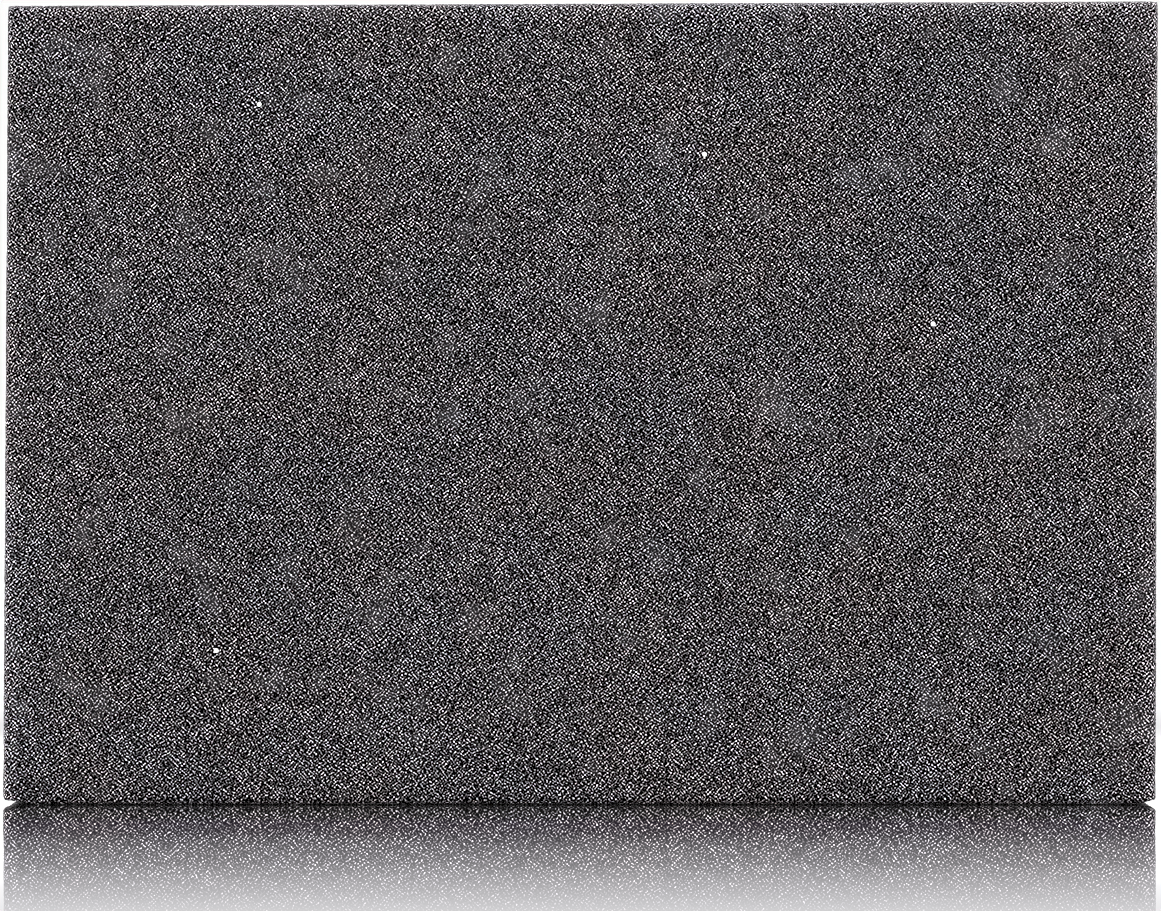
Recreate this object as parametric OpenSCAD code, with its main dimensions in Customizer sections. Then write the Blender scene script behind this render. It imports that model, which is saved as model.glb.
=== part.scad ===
// Chalkboard eraser: a block of open-cell foam that wipes the board, bonded to a
// firm closed-cell foam grip that is stiffened by a hardboard plate and carries
// disc magnets in its back.
//
// Frame: the eraser stands on one long side. +X runs along its length, +Y from the
// wiping face to the back, and +Z is up. The origin is the bottom centre of its box.
// All lengths are in millimetres.

/* [Wiping pad] */
// Length of the wiping face
pad_length = 130; // [110:1:160]
// Height of the wiping face
pad_height = 90; // [75:1:110]
// Thickness of the open-cell foam
pad_depth = 28; // [18:1:40]
// Rounding of the pad's edges
pad_edge_radius = 1.2; // [0.6:0.1:3]

/* [Glue films] */
// Thickness of each film of contact adhesive
film_thickness = 0.3; // [0.1:0.1:0.6]
// How far a film stays inside the grip's outline
film_inset = 1.2; // [0.5:0.1:3]

/* [Grip] */
// How far the grip stays inside the pad's outline, on every side
grip_inset = 0; // [0:0.1:3]
// Radius of the grip's four corners, seen from the back
grip_corner_radius = 8; // [4:0.5:14]
// Thickness of the grooved block of firm foam
grip_depth = 15; // [14.5:0.5:22]
// Rounding of the block's back edges
grip_edge_radius = 2.5; // [1:0.1:3.3]
// Radius of the finger groove's cross-section
groove_radius = 7; // [6:0.1:7.9]
// How deep the finger grooves cut into the long sides
groove_depth = 3; // [1.5:0.1:3.6]

/* [Stiffener] */
// Thickness of the hardboard plate and of the sheet that frames it
board_thickness = 3; // [2:0.5:5]
// Width of the frame around the plate
board_border = 11; // [8:0.5:16]
// Radius of the plate's corners
board_corner_radius = 4; // [2:0.5:8]
// Gap between the plate and its frame
board_clearance = 0.25; // [0.1:0.05:0.5]

/* [Magnets] */
// Diameter of the disc magnets
magnet_diameter = 12; // [8:1:16]
// Thickness of the disc magnets
magnet_thickness = 3; // [2:0.5:4]
// Chamfer on the magnets' rims
magnet_chamfer = 0.3; // [0.1:0.1:0.5]
// Distance between magnets along the length
magnet_spacing_x = 90; // [60:1:100]
// Distance between magnets along the height
magnet_spacing_z = 50; // [30:1:60]
// Gap between a magnet and the wall of its pocket
magnet_clearance = 0.1; // [0.05:0.05:0.2]
// How far the magnets sit below the back face
magnet_recess = 0.2; // [0.1:0.1:0.5]

/* [Hidden] */
$fn = 96;
overshoot = 1; // how far a cutting tool runs past the face it cuts

grip_length = pad_length - 2 * grip_inset;
grip_height = pad_height - 2 * grip_inset;
film_length = grip_length - 2 * film_inset;
film_height = grip_height - 2 * film_inset;
film_corner_radius = grip_corner_radius - film_inset;
board_length = grip_length - 2 * board_border;
board_height = grip_height - 2 * board_border;
groove_centre = (grip_depth - grip_edge_radius) / 2;
pocket_depth = magnet_recess + magnet_thickness + film_thickness;
total_depth = pad_depth + 2 * film_thickness + board_thickness + grip_depth;

// The stack of layers, as the Y of each layer's front face
pad_y = -total_depth / 2;
pad_film_y = pad_y + pad_depth;
board_y = pad_film_y + film_thickness;
grip_film_y = board_y + board_thickness;
grip_y = grip_film_y + film_thickness;
back_y = grip_y + grip_depth;
middle_z = pad_height / 2;

// Turns a flat shape drawn in (X, Z) into a layer from y_start to y_start + depth.
module layer(y_start, depth) {
    translate([0, y_start + depth, middle_z])
        rotate([90, 0, 0])
            linear_extrude(height = depth)
                children();
}

// Runs a section drawn in (Y, Z) along X, centred on the eraser.
module run_along_x(length) {
    translate([0, 0, middle_z])
        rotate([90, 0, 90])
            linear_extrude(height = length, center = true)
                children();
}

// Runs a section drawn in (X, Y) along Z, centred on the eraser.
module run_along_z(length) {
    translate([0, 0, middle_z])
        linear_extrude(height = length, center = true)
            children();
}

module rounded_rectangle(width, height, radius) {
    square([width - 2 * radius, height], center = true);
    square([width, height - 2 * radius], center = true);
    for (side_x = [-1, 1], side_y = [-1, 1])
        translate([side_x * (width / 2 - radius), side_y * (height / 2 - radius)])
            circle(r = radius);
}

// Section of a slab from X = 0 to X = depth whose two corners at X = depth are rounded.
module half_rounded_slab(depth, width, radius) {
    translate([0, -width / 2])
        square([depth - radius, width]);
    translate([0, radius - width / 2])
        square([depth, width - 2 * radius]);
    for (side = [-1, 1])
        translate([depth - radius, side * (width / 2 - radius)])
            circle(r = radius);
}

module at_each_magnet() {
    for (side_x = [-1, 1], side_z = [-1, 1])
        translate([side_x * magnet_spacing_x / 2, 0, middle_z + side_z * magnet_spacing_z / 2])
            children();
}

// A disc that faces the back, from y_start to y_start + depth.
module disc(y_start, depth, diameter) {
    translate([0, y_start + depth, 0])
        rotate([90, 0, 0])
            cylinder(d = diameter, h = depth);
}

// Block of open-cell foam, with every edge a little rounded.
module wiping_pad() {
    middle_y = pad_y + pad_depth / 2;
    color("#3b393b")
        intersection() {
            layer(pad_y, pad_depth)
                rounded_rectangle(pad_length, pad_height, pad_edge_radius);
            run_along_x(pad_length)
                translate([middle_y, 0])
                    rounded_rectangle(pad_depth, pad_height, pad_edge_radius);
            run_along_z(pad_height)
                translate([0, middle_y])
                    rounded_rectangle(pad_length, pad_depth, pad_edge_radius);
        }
}

module film(y_start) {
    layer(y_start, film_thickness)
        rounded_rectangle(film_length, film_height, film_corner_radius);
}

// Glue between the wiping pad and the layer behind it.
module pad_adhesive() {
    color("#c9b27a")
        film(pad_film_y);
}

// Glue between that layer and the grip.
module frame_adhesive() {
    color("#c9b27a")
        film(grip_film_y);
}

// Sheet of firm foam, die-cut with a window that holds the stiffener board.
module frame_sheet() {
    color("#77787a")
        layer(board_y, board_thickness)
            difference() {
                rounded_rectangle(grip_length, grip_height, grip_corner_radius);
                rounded_rectangle(
                    board_length + 2 * board_clearance,
                    board_height + 2 * board_clearance,
                    board_corner_radius + board_clearance
                );
            }
}

// Hardboard plate that keeps the wiping face flat under the hand.
module stiffener_board() {
    color("#6b4a2f")
        layer(board_y, board_thickness)
            rounded_rectangle(board_length, board_height, board_corner_radius);
}

// Block of firm foam that the hand holds: finger grooves run along both long sides,
// the back edges are rounded, and pockets in the back take the magnets.
module grip_block() {
    color("#2b2c2e")
        difference() {
            intersection() {
                layer(grip_y, grip_depth)
                    rounded_rectangle(grip_length, grip_height, grip_corner_radius);
                run_along_x(grip_length)
                    translate([grip_y, 0])
                        grip_section();
                run_along_z(grip_height)
                    translate([0, grip_y])
                        rotate(90)
                            half_rounded_slab(grip_depth, grip_length, grip_edge_radius);
            }
            at_each_magnet()
                disc(
                    back_y - pocket_depth,
                    pocket_depth + overshoot,
                    magnet_diameter + 2 * magnet_clearance
                );
        }
}

module grip_section() {
    difference() {
        half_rounded_slab(grip_depth, grip_height, grip_edge_radius);
        for (side = [-1, 1])
            translate([groove_centre, side * (grip_height / 2 + groove_radius - groove_depth)])
                circle(r = groove_radius);
    }
}

// One disc magnet with chamfered rims, lying along Y with its front face at Y = 0.
module magnet() {
    radius = magnet_diameter / 2;
    rotate([-90, 0, 0])
        rotate_extrude()
            polygon([
                [0, 0],
                [radius - magnet_chamfer, 0],
                [radius, magnet_chamfer],
                [radius, magnet_thickness - magnet_chamfer],
                [radius - magnet_chamfer, magnet_thickness],
                [0, magnet_thickness],
            ]);
}

module magnets() {
    color("#c8c9cc")
        at_each_magnet()
            translate([0, back_y - magnet_recess - magnet_thickness, 0])
                magnet();
}

// Thin disc of glue at the bottom of each magnet pocket.
module magnet_adhesive() {
    color("#d8d2c0")
        at_each_magnet()
            disc(back_y - pocket_depth, film_thickness, magnet_diameter);
}

wiping_pad();
pad_adhesive();
frame_sheet();
stiffener_board();
frame_adhesive();
grip_block();
magnets();
magnet_adhesive();
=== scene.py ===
"""The looks of a foam chalkboard eraser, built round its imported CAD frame.

The frame: +X runs along the eraser's length, +Y from the wiping face to the back, and
+Z is up. Everything is in metres. The foam parts are soft, so each gets a mesh of its own
in the space of its CAD solid. The magnets get one too, with rounded edges. The glue and the
stiffener keep their CAD shapes and get new materials.
"""

import math

import bpy
import numpy as np
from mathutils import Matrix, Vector
from mathutils.geometry import delaunay_2d_cdt


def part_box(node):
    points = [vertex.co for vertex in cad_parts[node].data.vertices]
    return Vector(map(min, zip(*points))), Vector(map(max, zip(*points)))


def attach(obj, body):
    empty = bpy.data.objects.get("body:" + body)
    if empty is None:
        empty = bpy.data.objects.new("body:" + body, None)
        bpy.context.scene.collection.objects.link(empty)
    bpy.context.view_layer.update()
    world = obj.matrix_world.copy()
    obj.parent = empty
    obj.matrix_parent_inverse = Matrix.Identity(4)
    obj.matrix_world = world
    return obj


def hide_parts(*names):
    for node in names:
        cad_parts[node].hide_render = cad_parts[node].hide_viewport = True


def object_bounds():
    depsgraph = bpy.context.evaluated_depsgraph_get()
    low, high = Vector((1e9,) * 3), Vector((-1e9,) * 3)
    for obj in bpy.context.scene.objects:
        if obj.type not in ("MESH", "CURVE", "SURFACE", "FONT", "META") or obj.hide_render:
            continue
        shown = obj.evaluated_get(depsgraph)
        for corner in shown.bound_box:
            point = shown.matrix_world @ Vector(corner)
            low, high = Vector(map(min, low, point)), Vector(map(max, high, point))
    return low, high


MM = 0.001
TINY = 1e-9  # metres; two places this close are the same place

# Wiping pad
PAD_GRID = 0.32 * MM  # spacing of the pad's surface mesh
PAD_EDGE = 0.3 * MM  # rounding of the cut edges
PILLOW = 0.62 * MM  # how far the narrow sides bulge beyond the wiping face
PILLOW_RISE = 5.0 * MM  # distance behind the face over which they bulge
BASE_BULGE = 0.48 * MM  # the same for the bottom side, which the floor squares up
BASE_RISE = 1.0 * MM
TOP_SWELL = 0.3 * MM  # how far the soft foam stands proud along its top
LIFT_LEFT = 3.2 * MM  # length at each end of the bottom side that stays off the floor
LIFT_RIGHT = 1.8 * MM
LEAN_LEFT = 0.55 * MM  # how far out of square the block was cut
LEAN_RIGHT = 0.25 * MM
SLOPE_TOP = 0.5 * MM
FINE_DEPTH = 6.0 * MM  # distance behind the face over which the surface mesh is finest
COARSER = 1.8  # how much wider the mesh is farther back
PORE = 0.62 * MM  # spacing of the pores that are modelled in the mesh
PORE_DEPTH = 0.16 * MM
PORE_WIDTH = 0.75  # where a pore ends, as a share of the spacing
WAVE = 0.05 * MM  # unevenness of the cut faces
WAVE_LENGTH = 2.4 * MM

# Grain of the open-cell foam, in its material
GRAIN_MAP = "grain"
SIDE_SHIFT = 0.5  # how far apart the sides lie on the map, so that neighbours have other grain
CELL = 0.45 * MM
CELL_WAVES = 1.28  # crests of the grain in one cell
STROKE_ORDER = 0.78  # how much the crests line up: 0 is not at all, 1 is in straight rows
STROKE_SLANT = 0.25 * math.pi  # the crests run along both diagonals
PAINTED_RIM_LIGHT_WIDTH = 2.4 * MM  # width of the painted rim light along the pad's edges
BASE_SHADE = 0.9 * MM  # height of the painted shade along the pad's base, where the floor shades the foam
SPECK_RADIUS = 0.27 * MM
SPECKS = [(-36.0, 78.5), (13.9, 72.9), (39.5, 53.9), (-40.8, 17.3)]  # lint, in (X, Z) mm

# Firm foam of the grip and of the sheet in front of it
FOAM_GRID = 0.8 * MM  # spacing of the meshes' points round an outline
GRIP_STEP = 0.6 * FOAM_GRID  # spacing of the rings down a side
SHEET_STEP = 0.5 * FOAM_GRID
GRIP_FILL = 2.5 * FOAM_GRID  # spacing of the points inside a flat side
SHEET_FILL = 4.0 * FOAM_GRID
OUTLINE_GAP = 0.6  # how far a flat side's inner points keep from its outline, in spacings
HOLE_GAP = 0.4
CORNER = 8.0 * MM
GRIP_FRONT_EDGE = 0.4 * MM
GRIP_BACK_EDGE = 2.5 * MM
GROOVE_RADIUS = 7.0 * MM
GROOVE_DEPTH = 3.0 * MM
GROOVE_LIP = 0.4 * MM  # softness of the grooves' edges
SAG = 0.22 * MM  # how unevenly the firm foam was cut
SAG_LENGTH = 17.0 * MM
ARC_STEP = 0.35 * MM  # spacing of the rings round a rounded edge
POCKET_CLEARANCE = 0.1 * MM
POCKET_LIP = 0.35 * MM
SHEET_EDGE = 0.35 * MM
GRIP_CELL = 0.75 * MM
SHEET_CELL = 0.6 * MM
BURST_SPACING = 3.2  # from one burst cell to the next, in cells
BOARD_BORDER = 10.75 * MM
BOARD_CORNER = 4.25 * MM

# Magnets
MAGNET_EDGE = 0.3 * MM
MAGNET_RIM = 0.48 * MM  # width of the ring that keeps the flat faces flat
MAGNET_STEP = 2.0 * MM  # spacing of the rings down a magnet's side
ROUND_STEPS = 72

# Seeds of the random draws
PORE_SEED = 11
WAVE_SEED = 31
SAG_SEED = 57

# Camera: level, in front of the wiping face
CAMERA_DISTANCE = 0.700
CAMERA_HEIGHT = 0.03916
CAMERA_LENS = 193.8
SENSOR_WIDTH = 36.0

# Studio
FILTER_WIDTH = 1.1  # how far, in pixels, the picture blends what it sees
BLACK_LEVEL = 0.008  # brightness that is shown as black
SEEN_WHITE = 0.98  # the room as the camera sees it
MIRRORED_WHITE = 1.2  # the room as the glossy floor and the magnets mirror it
ROOM_HORIZON = 0.7  # how bright the room is at eye level, as a share of its ceiling
ROOM_RISE = 0.45  # height, as a direction's Z, above which the room is fully bright
ROOM_LIGHT = 0.6  # how strongly the room lights the scene
FLOOR_HALF_SIZE = 3.0
FLOOR_BLEND = [(0.12, 0.0), (0.6, 1.0)]  # where the lit floor turns into the white room
FADE_LENGTH = 0.22  # distance over which the floor's reflections fade to nothing
# The mirror's strength and the glow over it, at shares of the fade's length. The glow paints the
# lit white floor: dark near the eraser as a painted shadow, with a painted tint of its reflection
# there, and white farther off
FLOOR_SHINE = [(0.0, 0.88), (0.28, 0.93), (0.45, 0.86), (0.6, 0.44), (0.72, 0.2), (1.0, 0.0)]
PAINTED_FLOOR_GLOW = [
    (0.0, 0.009),
    (0.10, 0.010),
    (0.16, (0.026, 0.021, 0.029)),
    (0.24, (0.048, 0.044, 0.051)),
    (0.45, (0.211, 0.207, 0.217)),
    (0.6, (0.437, 0.431, 0.446)),
    (0.72, (0.617, 0.613, 0.629)),
    (1.0, 1.0),
]

# Soft boxes: name, place, side and power in watts; all point at one spot in the eraser
SOFT_BOXES = [
    ("key", (-0.45, -1.0, 0.55), 0.6, 12.0),
    ("front_fill", (0.4, -1.0, 0.4), 0.6, 7.0),
    ("back_fill", (0.5, 0.9, 0.8), 0.5, 9.0),
]
LIGHT_TARGET = (0.0, 0.0, 0.04)


# ---------------------------------------------------------------- numbers and noise

def smooth_step(value):
    value = np.clip(value, 0.0, 1.0)
    return value * value * (3.0 - 2.0 * value)


def hashed(cells, seed):
    """A repeatable number from 0 to 1 for each whole-number cell."""
    mixed = cells[..., 0].astype(np.uint64) * np.uint64(73856093)
    mixed ^= cells[..., 1].astype(np.uint64) * np.uint64(19349663)
    mixed ^= cells[..., 2].astype(np.uint64) * np.uint64(83492791)
    mixed ^= np.uint64(seed) * np.uint64(2654435761)
    mixed ^= mixed >> np.uint64(15)
    mixed *= np.uint64(2246822519)
    mixed ^= mixed >> np.uint64(13)
    mixed *= np.uint64(3266489917)
    mixed ^= mixed >> np.uint64(16)
    return (mixed & np.uint64(0xFFFFFF)).astype(float) / float(0xFFFFFF)


def cell_distance(points, spacing, seed):
    """Distance from each point to the nearest random cell centre, in cell spacings."""
    scaled = points / spacing
    home = np.floor(scaled).astype(np.int64)
    nearest = np.full(len(points), np.inf)
    for step in np.ndindex(3, 3, 3):
        cell = home + np.array(step) - 1
        centre = cell + np.stack([hashed(cell, seed + axis) for axis in range(3)], axis=1)
        nearest = np.minimum(nearest, np.linalg.norm(scaled - centre, axis=1))
    return nearest


def value_noise(points, spacing, seed):
    """Smooth noise from -1 to 1 that changes over the given spacing."""
    scaled = points / spacing
    home = np.floor(scaled).astype(np.int64)
    share = smooth_step(scaled - home)
    total = np.zeros(len(points))
    for step in np.ndindex(2, 2, 2):
        corner = np.array(step)
        weight = np.prod(np.where(corner == 1, share, 1.0 - share), axis=1)
        total += weight * hashed(home + corner, seed)
    return 2.0 * total - 1.0


# ---------------------------------------------------------------- meshes

def cad_corners(node):
    """The lowest and highest corner of a CAD node's box."""
    low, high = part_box(node)
    return np.array(low), np.array(high)


def new_piece(name, points, faces):
    mesh = bpy.data.meshes.new(name)
    mesh.from_pydata([tuple(p) for p in points], [], faces)
    mesh.validate()
    mesh.polygons.foreach_set("use_smooth", [True] * len(mesh.polygons))
    mesh.update()
    piece = bpy.data.objects.new(name, mesh)
    bpy.context.scene.collection.objects.link(piece)
    return piece


def lay_flat(piece, quads, facing, lattice, ring):
    """Gives each side of a box its own flat map, in metres, for grain that lies in the cut."""
    flat_axes = np.array([[1, 2], [0, 2], [0, 1]])
    corners = lattice[quads]
    axes = flat_axes[facing]
    flat = np.take_along_axis(corners, axes[:, None, :].repeat(4, axis=1), axis=2)
    flat += facing[:, None, None] * SIDE_SHIFT
    flat = np.concatenate([flat.reshape(-1, 2), lattice[ring][:, [0, 2]] - SIDE_SHIFT])
    layer = piece.data.uv_layers.new(name=GRAIN_MAP)
    layer.data.foreach_set("uv", flat.ravel().astype(np.float32))


def finish_piece(piece, node, material):
    piece.data.materials.append(material)
    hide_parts(node)
    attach(piece, "root")


def keep_cad_shape(node, material):
    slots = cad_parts[node].data.materials
    slots.clear()
    slots.append(material)


def graded_steps(length, spacing, coarse_from, coarse_spacing):
    """Places along a length: fine ones up to coarse_from, and coarser ones after it."""
    fine = np.linspace(0.0, coarse_from, round(coarse_from / spacing) + 1)
    rest = length - coarse_from
    coarse = np.linspace(coarse_from, length, round(rest / coarse_spacing) + 1)
    return np.concatenate([fine, coarse[1:]])


def box_surface(xs, ys, zs):
    """Points and quads on the surface of a box lattice, apart from its +Y side.

    Each quad's facing axis is returned too, and the open side's border as a ring of
    point numbers."""
    counts = (len(xs), len(ys), len(zs))
    on_surface = np.zeros(counts, bool)
    on_surface[[0, -1], :, :] = True
    on_surface[:, [0, -1], :] = True
    on_surface[:, :, [0, -1]] = True
    on_surface[1:-1, -1, 1:-1] = False
    number = np.full(counts, -1)
    number[on_surface] = np.arange(on_surface.sum())
    where = np.argwhere(on_surface)
    points = np.stack([xs[where[:, 0]], ys[where[:, 1]], zs[where[:, 2]]], axis=1)
    sides = [
        (number[0, :, :], True, 0),
        (number[-1, :, :], False, 0),
        (number[:, 0, :], False, 1),
        (number[:, :, 0], True, 2),
        (number[:, :, -1], False, 2),
    ]
    quads = []
    facing = []
    for sheet, turned, axis in sides:
        quad = np.stack([sheet[:-1, :-1], sheet[1:, :-1], sheet[1:, 1:], sheet[:-1, 1:]], axis=-1)
        quad = quad.reshape(-1, 4)
        quads.append(quad[:, ::-1] if turned else quad)
        facing.append(np.full(len(quad), axis))
    back = number[:, -1, :]
    ring = np.concatenate([back[0, :-1], back[:-1, -1], back[-1, :0:-1], back[:0:-1, 0]])
    return points, np.concatenate(quads), np.concatenate(facing), ring


# ---------------------------------------------------------------- wiping pad

def rounded_box(points, low, high, radius):
    """Moves points of a box's surface onto the same box with rounded edges."""
    inner = np.clip(points, low + radius, high - radius)
    outward = points - inner
    length = np.linalg.norm(outward, axis=1, keepdims=True)
    normal = outward / np.maximum(length, TINY)
    return inner + radius * normal, normal


def quarter_rise(share):
    """Rises from 0 to 1 along a quarter of a circle."""
    return np.sqrt(1.0 - (1.0 - np.clip(share, 0.0, 1.0)) ** 2)


def pillowed(points, normal, low, high):
    """Bulges the four narrow sides, except at the wiping face and the bottom corners."""
    behind = points[:, 1] - low[1]
    lifted_left = smooth_step((points[:, 0] - low[0]) / LIFT_LEFT)
    lifted_right = smooth_step((high[0] - points[:, 0]) / LIFT_RIGHT)
    base = BASE_BULGE * quarter_rise(behind / BASE_RISE) * lifted_left * lifted_right
    sides = PILLOW * quarter_rise(behind / PILLOW_RISE)
    outward = np.clip(math.sqrt(2.0) * normal, -1.0, 1.0)
    moved = points.copy()
    moved[:, 0] += sides * outward[:, 0]
    moved[:, 2] += np.where(outward[:, 2] < 0.0, base, sides) * outward[:, 2]
    return moved


def out_of_square(points, low, high):
    """Leans the ends and slopes the top a little, as a hand-fed cutter does."""
    right = (points[:, 0] - low[0]) / (high[0] - low[0])
    up = (points[:, 2] - low[2]) / (high[2] - low[2])
    moved = points.copy()
    moved[:, 0] += LEAN_LEFT * up * (1.0 - right) - LEAN_RIGHT * (1.0 - up) * right
    moved[:, 2] -= SLOPE_TOP * up * (1.0 - right)
    return moved


def with_pores(points, normal):
    """Sinks the surface into the pores between the cell walls."""
    distance = cell_distance(points, PORE, PORE_SEED)
    depth = PORE_DEPTH * (1.0 - smooth_step(distance / PORE_WIDTH))
    waves = WAVE * value_noise(points, WAVE_LENGTH, WAVE_SEED)
    return points - normal * (depth + np.abs(waves))[:, None]


def wiping_pad(material):
    low, high = cad_corners("wiping_pad")
    low += np.array([PILLOW, 0.0, BASE_BULGE])
    high += np.array([-PILLOW, 0.0, TOP_SWELL - PILLOW])
    size = high - low
    xs = low[0] + np.linspace(0.0, size[0], round(size[0] / PAD_GRID) + 1)
    ys = low[1] + graded_steps(size[1], PAD_GRID, FINE_DEPTH, COARSER * PAD_GRID)
    zs = low[2] + np.linspace(0.0, size[2], round(size[2] / PAD_GRID) + 1)
    lattice, quads, facing, ring = box_surface(xs, ys, zs)
    points, normal = rounded_box(lattice, low, high, PAD_EDGE)
    points = pillowed(points, normal, low, high)
    points = out_of_square(points, low, high)
    # The back lies flat against the glue: it has no rounding and no pores.
    back = lattice[:, 1] >= high[1] - TINY
    points[back, 1] = high[1]
    normal[back] = 0.0
    points = with_pores(points, normal)
    faces = quads.tolist() + [ring.tolist()]
    piece = new_piece("foam_wiping_pad", points, faces)
    piece.data.polygons[len(quads)].use_smooth = False
    lay_flat(piece, quads, facing, lattice, ring)
    finish_piece(piece, "wiping_pad", material)


# ---------------------------------------------------------------- firm foam and magnets

def rounded_outline(half_x, half_z, radius, spacing):
    """Points and outward normals round a rounded rectangle, anticlockwise from the front."""
    points = []
    normals = []
    arc_steps = round(0.5 * math.pi * radius / spacing)
    for quarter, (side_x, side_z) in enumerate([(1, 1), (-1, 1), (-1, -1), (1, -1)]):
        angles = 0.5 * math.pi * (quarter + np.linspace(0.0, 1.0, arc_steps + 1))
        normal = np.stack([np.cos(angles), np.sin(angles)], axis=1)
        centre = np.array([side_x * (half_x - radius), side_z * (half_z - radius)])
        arc = centre + radius * normal
        length = 2.0 * ((half_x if quarter % 2 == 0 else half_z) - radius)
        along = np.linspace(0.0, length, round(length / spacing) + 1)[1:-1, None]
        straight = arc[-1] + along * np.array([-normal[-1, 1], normal[-1, 0]])
        points += [arc, straight]
        normals += [normal, normal[-1:].repeat(len(straight), axis=0)]
    return np.concatenate(points), np.concatenate(normals)


def circle(centre, radius):
    angles = np.linspace(0.0, 2.0 * math.pi, ROUND_STEPS, endpoint=False)
    return np.array(centre) + radius * np.stack([np.cos(angles), np.sin(angles)], axis=1)


def side_profile(depth, front_edge, back_edge, spacing):
    """(depth, inset) pairs down a side: a rounded front edge, a flat and a rounded back edge."""
    def quarter(radius):
        return np.linspace(0.0, 0.5 * math.pi, max(round(radius / ARC_STEP), 3) + 1)

    turn = quarter(front_edge)
    front = np.stack([front_edge * (1.0 - np.cos(turn)), front_edge * (1.0 - np.sin(turn))], axis=1)
    straight = depth - front_edge - back_edge
    along = front_edge + np.linspace(0.0, straight, round(straight / spacing) + 1)[1:-1]
    flat = np.stack([along, np.zeros(len(along))], axis=1)
    turn = quarter(back_edge)
    back = np.stack(
        [depth - back_edge * (1.0 - np.sin(turn)), back_edge * (1.0 - np.cos(turn))], axis=1
    )
    return np.concatenate([front, flat, back])


class Shell:
    """A mesh that is put together from rings and fills, each drawn in (X, Z) at a depth Y."""

    def __init__(self):
        self.points = []
        self.faces = []

    def ring(self, outline, y):
        """Adds a ring of points and returns their numbers."""
        first = len(self.points)
        self.points += [(x, y, z) for x, z in outline]
        return list(range(first, len(self.points)))

    def join(self, front, back):
        """Joins two rings; the faces look outwards when the rings run anticlockwise."""
        for index in range(len(front)):
            after = (index + 1) % len(front)
            self.faces.append((front[index], back[index], back[after], front[after]))

    def tube(self, rings):
        """Joins each ring to the next one."""
        for front, back in zip(rings[:-1], rings[1:]):
            self.join(front, back)

    def fill(self, outer, holes, y, spacing, looks_back):
        """Fills the space between an outer ring and the rings of its holes with triangles."""
        outline, *gaps = [self.drawn(ring) for ring in [outer] + holes]
        inner = inner_points(outline, gaps, spacing)
        numbers = sum([outer] + holes, []) + self.ring(inner, y)
        for triangle in triangles_between(outline, gaps, inner):
            corners = [numbers[n] for n in triangle]
            self.faces.append(tuple(reversed(corners)) if looks_back else tuple(corners))

    def drawn(self, ring):
        """A ring's outline in (X, Z)."""
        return np.array([(self.points[n][0], self.points[n][2]) for n in ring])


def is_inside(points, outline):
    """Whether each point lies inside an outline."""
    inside = np.zeros(len(points), bool)
    for start, end in zip(outline, np.roll(outline, -1, axis=0)):
        crosses = (start[1] > points[:, 1]) != (end[1] > points[:, 1])
        rise = end[1] - start[1] if end[1] != start[1] else 1.0
        at = start[0] + (points[:, 1] - start[1]) / rise * (end[0] - start[0])
        inside ^= crosses & (points[:, 0] < at)
    return inside


def clearance(points, outline):
    """Distance from each point to the nearest point of an outline."""
    nearest = np.full(len(points), np.inf)
    for corner in outline:
        nearest = np.minimum(nearest, np.linalg.norm(points - corner, axis=1))
    return nearest


def inner_points(outline, holes, spacing):
    """An even grid of points inside an outline and outside its holes, clear of both."""
    low, high = outline.min(0), outline.max(0)
    counts = np.maximum(np.round((high - low) / spacing).astype(int), 2) + 1
    columns, rows = (np.linspace(low[i], high[i], counts[i]) for i in (0, 1))
    grid = np.stack(np.meshgrid(columns, rows), axis=-1).reshape(-1, 2)
    kept = is_inside(grid, outline) & (clearance(grid, outline) > OUTLINE_GAP * spacing)
    for hole in holes:
        kept &= ~is_inside(grid, hole) & (clearance(grid, hole) > HOLE_GAP * spacing)
    return grid[kept]


def triangles_between(outline, holes, inner):
    """Triangles over all the points, except outside the outline and inside the holes."""
    rings = [outline] + holes
    edges = []
    first = 0
    for ring in rings:
        edges += [(first + i, first + (i + 1) % len(ring)) for i in range(len(ring))]
        first += len(ring)
    places = [Vector(place) for place in np.concatenate(rings + [inner])]
    spots, _, triangles, *_ = delaunay_2d_cdt(places, edges, [], 0, TINY)
    spots = np.array([tuple(spot) for spot in spots])
    middles = spots[np.array(triangles)].mean(axis=1)
    kept = is_inside(middles, outline)
    for hole in holes:
        kept &= ~is_inside(middles, hole)
    return [triangle for triangle, keep in zip(triangles, kept) if keep]


def groove_cut(z, depth, groove_centre, half_z):
    """Cuts a finger groove with soft lips into both long sides."""
    from_centre = np.clip((depth - groove_centre) / GROOVE_RADIUS, -1.0, 1.0)
    cut = GROOVE_RADIUS * np.sqrt(1.0 - from_centre ** 2) - (GROOVE_RADIUS - GROOVE_DEPTH)
    limit = half_z - cut
    reach = np.exp(-np.abs(z) / GROOVE_LIP) + np.exp(-limit / GROOVE_LIP)
    return np.sign(z) * -GROOVE_LIP * np.log(reach)


def uneven(points, middle):
    """Draws an outer surface in towards the middle line by a slow, smooth noise.

    The pockets and the window are added after this, so they keep their clearance."""
    points = np.array(points)
    inwards = middle - points
    inwards[:, 1] = 0.0
    length = np.linalg.norm(inwards, axis=1, keepdims=True)
    amount = 0.5 + 0.5 * value_noise(points, SAG_LENGTH, SAG_SEED)
    moved = points + SAG * amount[:, None] * inwards / np.maximum(length, MM)
    return moved.tolist()


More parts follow.
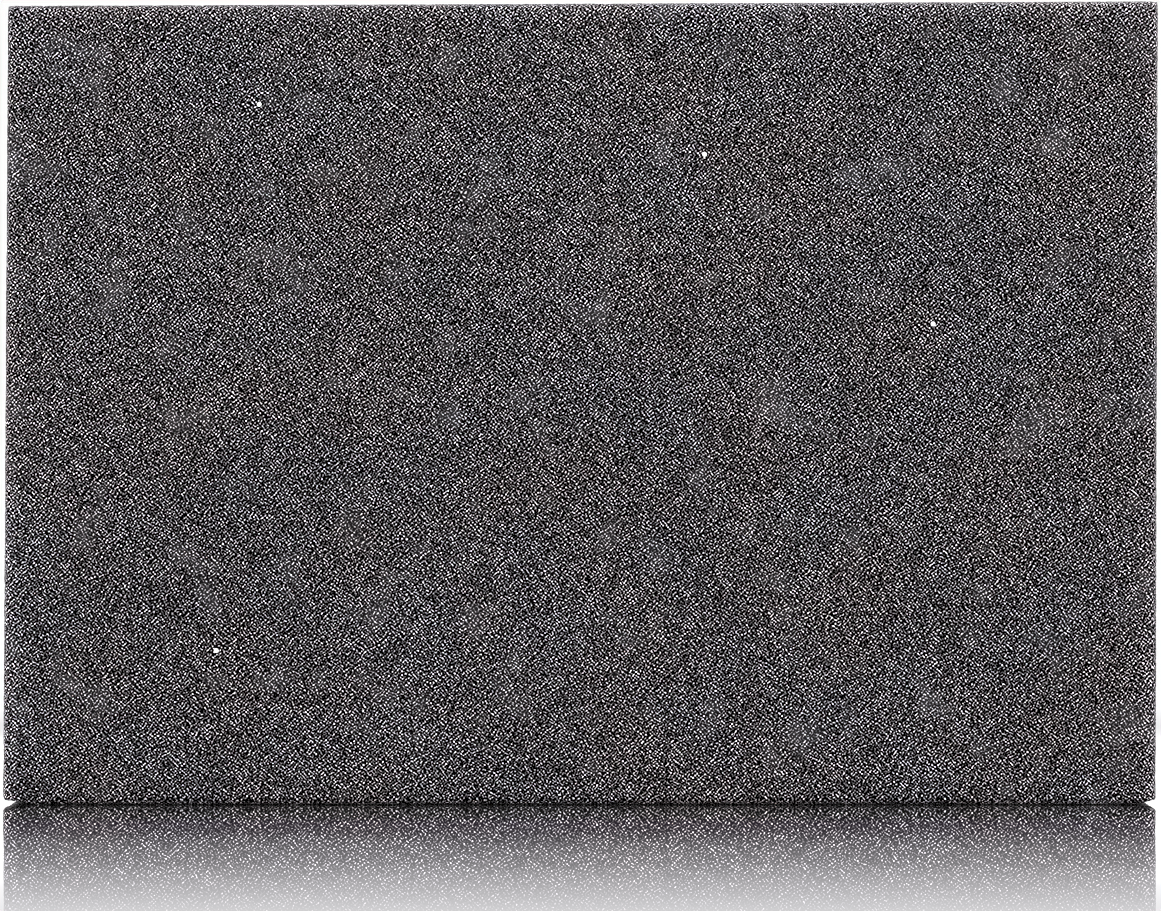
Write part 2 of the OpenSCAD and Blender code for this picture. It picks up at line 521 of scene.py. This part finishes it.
def magnet_pockets(shell, back_y):
    """Adds the round pockets of the magnets and returns the rings of their mouths."""
    floor_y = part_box("magnet_adhesive")[0].y
    mouths = []
    for centre, radius, _, _ in magnet_places():
        walls_and_painted_glints = radius + POCKET_CLEARANCE
        mouth = shell.ring(circle(centre, walls_and_painted_glints + POCKET_LIP), back_y)
        lip = shell.ring(circle(centre, walls_and_painted_glints), back_y - POCKET_LIP)
        base = shell.ring(circle(centre, walls_and_painted_glints), floor_y)
        shell.tube([mouth, lip, base])
        shell.faces.append(tuple(reversed(base)))
        mouths.append(mouth)
    return mouths


def grip_block(material):
    low, high = cad_corners("grip_block")
    middle = 0.5 * (low + high)
    half = 0.5 * (high - low)
    depth = high[1] - low[1]
    outline, normals = rounded_outline(half[0], half[2], CORNER, FOAM_GRID)
    groove_centre = 0.5 * (depth - GRIP_BACK_EDGE)
    offset = middle[[0, 2]]
    shell = Shell()
    rings = []
    for at, inset in side_profile(depth, GRIP_FRONT_EDGE, GRIP_BACK_EDGE, GRIP_STEP):
        section = outline - inset * normals
        section[:, 1] = groove_cut(section[:, 1], at, groove_centre, half[2])
        rings.append(shell.ring(section + offset, low[1] + at))
    shell.tube(rings)
    shell.points = uneven(shell.points, middle)
    shell.faces.append(tuple(rings[0]))
    mouths = magnet_pockets(shell, high[1])
    shell.fill(rings[-1], mouths, high[1], GRIP_FILL, looks_back=True)
    piece = new_piece("foam_grip_block", shell.points, shell.faces)
    finish_piece(piece, "grip_block", material)


def frame_sheet(material):
    low, high = cad_corners("frame_sheet")
    middle = 0.5 * (low + high)
    half = 0.5 * (high - low)
    outline, normals = rounded_outline(half[0], half[2], CORNER, FOAM_GRID)
    window, _ = rounded_outline(
        half[0] - BOARD_BORDER, half[2] - BOARD_BORDER, BOARD_CORNER, FOAM_GRID
    )
    offset = middle[[0, 2]]
    shell = Shell()
    rings = []
    for at, inset in side_profile(high[1] - low[1], SHEET_EDGE, SHEET_EDGE, SHEET_STEP):
        rings.append(shell.ring(outline - inset * normals + offset, low[1] + at))
    shell.tube(rings)
    shell.points = uneven(shell.points, middle)
    window_front = shell.ring(window + offset, low[1])
    window_back = shell.ring(window + offset, high[1])
    shell.join(window_back, window_front)
    shell.fill(rings[0], [window_front], low[1], SHEET_FILL, looks_back=False)
    shell.fill(rings[-1], [window_back], high[1], SHEET_FILL, looks_back=True)
    piece = new_piece("foam_frame_sheet", shell.points, shell.faces)
    finish_piece(piece, "frame_sheet", material)


def magnet_places():
    """Centre in (X, Z), radius, front and back of each magnet, from the frame's magnets."""
    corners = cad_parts["magnets"].data.vertices
    points = np.empty(3 * len(corners))
    corners.foreach_get("co", points)
    points = points.reshape(-1, 3)
    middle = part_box("magnets")[0].lerp(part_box("magnets")[1], 0.5)
    places = []
    for side_x in (-1, 1):
        for side_z in (-1, 1):
            mine = points[
                ((points[:, 0] - middle.x) * side_x > 0) & ((points[:, 2] - middle.z) * side_z > 0)
            ]
            low, high = mine.min(0), mine.max(0)
            centre = (0.5 * (low[0] + high[0]), 0.5 * (low[2] + high[2]))
            places.append((centre, 0.5 * (high[0] - low[0]), low[1], high[1]))
    return places


def magnets(material):
    shell = Shell()
    for centre, radius, front_y, back_y in magnet_places():
        rings = []
        for at, inset in side_profile(back_y - front_y, MAGNET_EDGE, MAGNET_EDGE, MAGNET_STEP):
            rings.append(shell.ring(circle(centre, radius - inset), front_y + at))
        flat = radius - MAGNET_RIM
        rings.insert(0, shell.ring(circle(centre, flat), front_y))
        rings.append(shell.ring(circle(centre, flat), back_y))
        shell.tube(rings)
        shell.faces.append(tuple(rings[0]))
        shell.faces.append(tuple(reversed(rings[-1])))
    piece = new_piece("disc_magnets", shell.points, shell.faces)
    finish_piece(piece, "magnets", material)


# ---------------------------------------------------------------- node helpers

class Nodes:
    """Builds a material's nodes in the order they are read."""

    def __init__(self, name):
        self.material = bpy.data.materials.new(name)
        self.material.use_nodes = True
        self.tree = self.material.node_tree
        self.tree.nodes.clear()
        self.output = self.add("ShaderNodeOutputMaterial")
        self.shader = self.add("ShaderNodeBsdfPrincipled")
        self.link(self.shader.outputs[0], self.output.inputs["Surface"])
        self.place = self.add("ShaderNodeTexCoord").outputs["Object"]

    def add(self, kind, **settings):
        node = self.tree.nodes.new(kind)
        for name, value in settings.items():
            setattr(node, name, value)
        return node

    def link(self, source, target):
        self.tree.links.new(source, target)

    def feed(self, socket, value):
        if isinstance(value, bpy.types.NodeSocket):
            self.link(value, socket)
        else:
            socket.default_value = value

    def maths(self, operation, *values):
        node = self.add("ShaderNodeMath", operation=operation)
        for socket, value in zip(node.inputs, values):
            self.feed(socket, value)
        return node.outputs[0]

    def flat(self):
        """The flat map of a cut foam surface."""
        return self.add("ShaderNodeUVMap", uv_map=GRAIN_MAP).outputs[0]

    def noise(self, spacing, detail=2.0, place=None):
        node = self.add("ShaderNodeTexNoise")
        self.link(place or self.place, node.inputs["Vector"])
        node.inputs["Scale"].default_value = 1.0 / spacing
        node.inputs["Detail"].default_value = detail
        return node.outputs[0]

    def cells(self, spacing):
        node = self.add("ShaderNodeTexVoronoi")
        self.link(self.place, node.inputs["Vector"])
        node.inputs["Scale"].default_value = 1.0 / spacing
        return node

    def ramp(self, value, stops):
        """Linear steps from value to a grey or a colour, given as (place, colour) pairs."""
        node = self.add("ShaderNodeValToRGB")
        self.link(value, node.inputs[0])
        elements = node.color_ramp.elements
        while len(elements) < len(stops):
            elements.new(0.5)
        for element, (place, colour) in zip(elements, stops):
            element.position = place
            grey = (colour, colour, colour) if isinstance(colour, (int, float)) else colour
            element.color = (*grey, 1.0)
        return node.outputs[0]

    def mix(self, share, first, second, blend="MIX"):
        node = self.add("ShaderNodeMix", data_type="RGBA", blend_type=blend)
        # Inputs 6 and 7 and output 2 are the ones for colours.
        self.feed(node.inputs[0], share)
        self.feed(node.inputs[6], first)
        self.feed(node.inputs[7], second)
        return node.outputs[2]

    def times(self, first, second):
        """Multiplies two colours."""
        return self.mix(1.0, first, second, "MULTIPLY")

    def grain(self):
        """Short random strokes along both diagonals, in the plane of each cut side."""
        total = 0.0
        for slant in (-STROKE_SLANT, STROKE_SLANT):
            node = self.add("ShaderNodeTexGabor", gabor_type="2D")
            self.link(self.flat(), node.inputs["Vector"])
            node.inputs["Scale"].default_value = 1.0 / CELL
            node.inputs["Frequency"].default_value = CELL_WAVES
            node.inputs["Anisotropy"].default_value = STROKE_ORDER
            node.inputs["Orientation"].default_value = slant
            total = self.maths("ADD", node.outputs["Value"], total)
        one_layer = math.sqrt(0.5)  # brings the two layers back to the contrast of one
        return self.maths("MULTIPLY_ADD", total, one_layer, 0.5 - one_layer)

    def stretched(self, x, y, z):
        node = self.add("ShaderNodeMapping")
        self.link(self.place, node.inputs["Vector"])
        node.inputs["Scale"].default_value = (x, y, z)
        return node.outputs[0]

    def axes(self):
        node = self.add("ShaderNodeSeparateXYZ")
        self.link(self.place, node.inputs[0])
        return node.outputs

    def distance_outside(self, half_x, half_y):
        """Distance on the floor from a rectangle round the origin."""
        squares = []
        for place, half in zip(self.axes(), (half_x, half_y)):
            beyond = self.maths("SUBTRACT", self.maths("ABSOLUTE", place), half)
            squares.append(self.maths("POWER", self.maths("MAXIMUM", beyond, 0.0), 2.0))
        return self.maths("SQRT", self.maths("ADD", *squares))

    def painted_rim_light(self):
        """Painted rim light: rises towards the left, right and top edges of the wiping face."""
        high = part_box("wiping_pad")[1]
        x, _, z = self.axes()
        from_side = self.maths("SUBTRACT", high.x, self.maths("ABSOLUTE", x))
        from_top = self.maths("SUBTRACT", high.z, z)
        nearest = self.maths("MINIMUM", from_side, from_top)
        return self.ramp(
            self.maths("DIVIDE", nearest, PAINTED_RIM_LIGHT_WIDTH),
            [(0.1, 0.06), (0.4, 0.025), (1.0, 0.0)],
        )

    def painted_base_shade(self):
        """Painted shade: falls a little over the last bit of the foam above the surface it stands
        on.
        """
        return self.ramp(self.maths("DIVIDE", self.axes()[2], BASE_SHADE), [(0.5, 0.6), (1.0, 1.0)])

    def specks(self):
        """Masks the lint on the wiping face."""
        face_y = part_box("wiping_pad")[0].y
        nearest = 1.0
        for x, z in SPECKS:
            node = self.add("ShaderNodeVectorMath", operation="DISTANCE")
            self.link(self.place, node.inputs[0])
            node.inputs[1].default_value = (x * MM, face_y, z * MM)
            nearest = self.maths("MINIMUM", node.outputs["Value"], nearest)
        return self.maths("LESS_THAN", nearest, SPECK_RADIUS)

    def rubbed_edges(self):
        """Masks the outward edges, broken up by noise."""
        point = self.add("ShaderNodeNewGeometry").outputs["Pointiness"]
        edge = self.ramp(point, [(0.52, 0.0), (0.60, 0.6)])
        broken = self.ramp(self.noise(1.2 * MM, 4.0), [(0.4, 0.0), (0.65, 1.0)])
        return self.times(edge, broken)

    def bump(self, height, distance, strength=1.0):
        node = self.add("ShaderNodeBump")
        self.link(height, node.inputs["Height"])
        node.inputs["Distance"].default_value = distance
        node.inputs["Strength"].default_value = strength
        return node.outputs[0]

    def set(self, **values):
        for name, value in values.items():
            self.feed(self.shader.inputs[name.replace("_", " ")], value)


# ---------------------------------------------------------------- materials

def open_cell_foam():
    """Charcoal foam: dark pores between fine cell walls that catch the light, with the walls'
    glints painted into the colour as pale strokes and the pores' dark charcoal deepened by painted
    shade.
    """
    nodes = Nodes("open_cell_foam")
    # The grain is lifted by a painted rim light near the left, right and top edges.
    grain = nodes.maths("ADD", nodes.grain(), nodes.painted_rim_light())
    # Painted glints and shade: the grain's crests become pale wall colour, up to white, and the
    # rest near-black pores.
    walls_and_painted_glints = nodes.ramp(grain, [(0.50, 0.0), (0.60, 0.115), (0.80, 1.0)])
    matted = nodes.ramp(nodes.noise(5.0 * MM, 3.0), [(0.58, 0.0), (0.75, 0.15)])
    walls_and_painted_glints = nodes.mix(matted, walls_and_painted_glints, (0.11, 0.11, 0.11, 1))
    warmth = nodes.ramp(nodes.noise(9.0 * MM, 2.0), [(0.35, 0.0), (0.65, 1.0)])
    tint = nodes.mix(warmth, (0.95, 0.90, 1.0, 1), (1.0, 0.90, 0.95, 1))
    level = nodes.ramp(nodes.noise(14.0 * MM, 1.0), [(0.3, 0.90), (0.7, 0.98)])
    lit = nodes.times(tint, level)
    # Painted shade along the pad's base, where the floor shades it.
    lit = nodes.times(lit, nodes.painted_base_shade())
    colour = nodes.mix(walls_and_painted_glints, (0.001, 0.001, 0.001, 1), lit)
    colour = nodes.mix(nodes.specks(), colour, (0.95, 0.95, 0.93, 1))
    nodes.set(Base_Color=colour, Roughness=0.55, Specular_IOR_Level=walls_and_painted_glints)
    return nodes.material


def firm_foam(name, shade, cell):
    """Closed-cell foam: cut cells in slightly different shades, a few of them burst open, with
    painted shade inside these.
    """
    nodes = Nodes(name)
    cells = nodes.cells(cell)
    burst = nodes.cells(BURST_SPACING * cell).outputs["Distance"]
    mottle = nodes.noise(7.0 * MM, 5.0)
    deep = tuple(0.62 * part for part in shade)
    pale = tuple(1.5 * part + 0.01 for part in shade)
    colour = nodes.mix(mottle, (*deep, 1), (*pale, 1))
    own_shade = nodes.ramp(cells.outputs["Color"], [(0.15, 0.62), (0.85, 1.0)])
    colour = nodes.times(colour, own_shade)
    walls = nodes.ramp(cells.outputs["Distance"], [(0.0, 0.0), (0.6, 1.0)])
    pits = nodes.ramp(burst, [(0.13, 0.0), (0.22, 1.0)])
    # Painted shade: the colour is darkened inside the burst pits.
    colour = nodes.times(colour, nodes.ramp(pits, [(0.0, 0.3), (1.0, 1.0)]))
    rubbed_shade = tuple(1.9 * part + 0.03 for part in shade)
    colour = nodes.mix(nodes.rubbed_edges(), colour, (*rubbed_shade, 1))
    rough = nodes.ramp(nodes.noise(3.0 * MM, 4.0), [(0.3, 0.62), (0.7, 0.82)])
    relief = nodes.maths("ADD", nodes.maths("MULTIPLY", walls, 0.35), pits)
    nodes.set(
        Base_Color=colour,
        Roughness=rough,
        Specular_IOR_Level=0.35,
        Normal=nodes.bump(relief, 0.16 * MM, 0.9),
    )
    return nodes.material


def contact_adhesive():
    """Amber glue, uneven and a little milky."""
    nodes = Nodes("contact_adhesive")
    streaks = nodes.noise(2.2 * MM, 4.0)
    colour = nodes.mix(streaks, (0.30, 0.16, 0.045, 1), (0.66, 0.50, 0.25, 1))
    rough = nodes.ramp(streaks, [(0.3, 0.25), (0.7, 0.5)])
    nodes.set(Base_Color=colour, Roughness=rough, Normal=nodes.bump(streaks, 0.1 * MM))
    return nodes.material


def hardboard():
    """Pressed brown fibre."""
    nodes = Nodes("hardboard")
    fibres = nodes.noise(0.5 * MM, 6.0)
    patches = nodes.noise(8.0 * MM, 3.0)
    dark = nodes.mix(patches, (0.10, 0.050, 0.022, 1), (0.17, 0.088, 0.040, 1))
    colour = nodes.mix(nodes.ramp(fibres, [(0.35, 0.0), (0.7, 1.0)]), dark, (0.33, 0.20, 0.10, 1))
    nodes.set(Base_Color=colour, Roughness=0.72, Normal=nodes.bump(fibres, 0.08 * MM))
    return nodes.material


def nickel_plate():
    """Bright nickel, dulled by handling, with hairline scratches."""
    nodes = Nodes("nickel_plate")
    smears = nodes.noise(3.5 * MM, 5.0)
    scratches = nodes.noise(0.25 * MM, 4.0, nodes.stretched(1.0, 1.0, 0.06))
    colour = nodes.mix(smears, (0.30, 0.285, 0.26, 1), (0.52, 0.50, 0.46, 1))
    worn = nodes.ramp(scratches, [(0.56, 0.0), (0.62, 0.5)])
    colour = nodes.mix(worn, colour, (0.74, 0.72, 0.68, 1))
    rough = nodes.ramp(smears, [(0.3, 0.22), (0.7, 0.38)])
    nodes.set(
        Base_Color=colour,
        Metallic=1.0,
        Roughness=rough,
        Normal=nodes.bump(scratches, 0.02 * MM, 0.7),
    )
    return nodes.material


# ---------------------------------------------------------------- stage

def white_world():
    """A room that looks evenly white, directly or mirrored, but is a dimmer source of light."""
    world = bpy.data.worlds.new("white_room")
    world.use_nodes = True
    tree = world.node_tree
    tree.nodes.clear()
    output = tree.nodes.new("ShaderNodeOutputWorld")
    background = tree.nodes.new("ShaderNodeBackground")
    background.inputs["Color"].default_value = (1, 1, 1, 1)
    direction = tree.nodes.new("ShaderNodeTexCoord").outputs["Generated"]
    axes = tree.nodes.new("ShaderNodeSeparateXYZ")
    height = tree.nodes.new("ShaderNodeMapRange")
    height.inputs["From Min"].default_value = 0.0
    height.inputs["From Max"].default_value = ROOM_RISE
    height.inputs["To Min"].default_value = ROOM_HORIZON * ROOM_LIGHT
    height.inputs["To Max"].default_value = ROOM_LIGHT
    tree.links.new(direction, axes.inputs[0])
    tree.links.new(axes.outputs[2], height.inputs["Value"])
    path = tree.nodes.new("ShaderNodeLightPath")
    strength = height.outputs[0]
    for ray, seen_as in (("Is Glossy Ray", MIRRORED_WHITE), ("Is Camera Ray", SEEN_WHITE)):
        choice = tree.nodes.new("ShaderNodeMix")
        # Inputs 2 and 3 are the ones for plain numbers.
        choice.inputs[3].default_value = seen_as
        tree.links.new(path.outputs[ray], choice.inputs[0])
        tree.links.new(strength, choice.inputs[2])
        strength = choice.outputs[0]
    tree.links.new(strength, background.inputs["Strength"])
    tree.links.new(background.outputs[0], output.inputs["Surface"])
    bpy.context.scene.world = world


def soft_box(name, place, side, power):
    light = bpy.data.lights.new(name, "AREA")
    light.size = side
    light.energy = power
    lamp = bpy.data.objects.new(name, light)
    bpy.context.scene.collection.objects.link(lamp)
    lamp.location = place
    lamp.rotation_euler = (Vector(LIGHT_TARGET) - Vector(place)).to_track_quat("-Z", "Y").to_euler()
    lamp.visible_camera = False


def faded_mirror(nodes, far):
    """A mirror that weakens with distance, under a glow that whitens with distance; near the eraser
    the glow stays dark, a painted shadow.
    """
    mirror = nodes.add("ShaderNodeBsdfGlossy")
    mirror.inputs["Roughness"].default_value = 0.0
    nodes.link(nodes.ramp(far, FLOOR_SHINE), mirror.inputs["Color"])
    glow = nodes.add("ShaderNodeEmission")
    # Painted shadow and reflection tint: the glow is dark and tinted near the eraser, white farther
    # off.
    nodes.link(nodes.ramp(far, PAINTED_FLOOR_GLOW), glow.inputs["Color"])
    glow.inputs["Strength"].default_value = SEEN_WHITE
    both = nodes.add("ShaderNodeAddShader")
    nodes.link(mirror.outputs[0], both.inputs[0])
    nodes.link(glow.outputs[0], both.inputs[1])
    return both.outputs[0]


def white_floor(low, high):
    """A glossy white floor. Seen at a low angle it mirrors the eraser, less so farther off, under a
    glow with a painted shadow near the eraser.
    """
    bpy.ops.mesh.primitive_plane_add(size=2.0 * FLOOR_HALF_SIZE)
    plane = bpy.context.object
    plane.name = "floor"
    nodes = Nodes("white_floor")
    nodes.set(Base_Color=(0.96, 0.96, 0.96, 1), Roughness=0.6, Specular_IOR_Level=0.2)
    apart = nodes.distance_outside(0.5 * (high[0] - low[0]), 0.5 * (high[1] - low[1]))
    low_angle = faded_mirror(nodes, nodes.maths("DIVIDE", apart, FADE_LENGTH))
    slant = nodes.add("ShaderNodeLayerWeight")
    slant.inputs["Blend"].default_value = 0.5
    share = nodes.add("ShaderNodeMixShader")
    grazing = nodes.ramp(slant.outputs["Facing"], [(0.0, 0.04), (0.74, 0.2), (0.90, 1.0)])
    distant = nodes.ramp(apart, FLOOR_BLEND)
    nodes.link(nodes.maths("MAXIMUM", grazing, distant), share.inputs[0])
    nodes.link(nodes.shader.outputs[0], share.inputs[1])
    nodes.link(low_angle, share.inputs[2])
    nodes.link(share.outputs[0], nodes.output.inputs["Surface"])
    plane.data.materials.append(nodes.material)


def camera(face_y):
    data = bpy.data.cameras.new("camera")
    data.lens = CAMERA_LENS
    data.sensor_width = SENSOR_WIDTH
    view = bpy.data.objects.new("camera", data)
    bpy.context.scene.collection.objects.link(view)
    view.location = (0.0, face_y - CAMERA_DISTANCE, CAMERA_HEIGHT)
    view.rotation_euler = (math.pi / 2.0, 0.0, 0.0)
    bpy.context.scene.camera = view


def develop_picture():
    """Sharp pixels, plain colours and a true black.

    The denoiser is guided by the unfiltered colours of the surfaces, so that it clears the
    light's noise and keeps the foam's grain."""
    scene = bpy.context.scene
    scene.cycles.filter_width = FILTER_WIDTH
    scene.cycles.use_denoising = True
    scene.cycles.denoising_input_passes = "RGB_ALBEDO_NORMAL"
    scene.cycles.denoising_prefilter = "NONE"
    scene.view_settings.view_transform = "Standard"
    scene.view_settings.use_curve_mapping = True
    curves = scene.view_settings.curve_mapping
    curves.black_level = (BLACK_LEVEL, BLACK_LEVEL, BLACK_LEVEL)
    curves.update()


# ---------------------------------------------------------------- build

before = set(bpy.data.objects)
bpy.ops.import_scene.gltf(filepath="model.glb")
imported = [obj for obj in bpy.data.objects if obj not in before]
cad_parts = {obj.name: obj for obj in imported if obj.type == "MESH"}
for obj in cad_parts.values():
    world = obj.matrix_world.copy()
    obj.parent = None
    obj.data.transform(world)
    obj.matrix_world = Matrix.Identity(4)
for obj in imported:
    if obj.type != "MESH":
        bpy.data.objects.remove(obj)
cad_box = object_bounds()

wiping_pad(open_cell_foam())
grip_block(firm_foam("black_grip_foam", (0.024, 0.024, 0.025), GRIP_CELL))
frame_sheet(firm_foam("grey_sheet_foam", (0.19, 0.192, 0.196), SHEET_CELL))
magnets(nickel_plate())
glue = contact_adhesive()
keep_cad_shape("pad_adhesive", glue)
keep_cad_shape("frame_adhesive", glue)
keep_cad_shape("magnet_adhesive", glue)
keep_cad_shape("stiffener_board", hardboard())

white_floor(*cad_box)
white_world()
for box in SOFT_BOXES:
    soft_box(*box)
camera(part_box("wiping_pad")[0].y)
develop_picture()
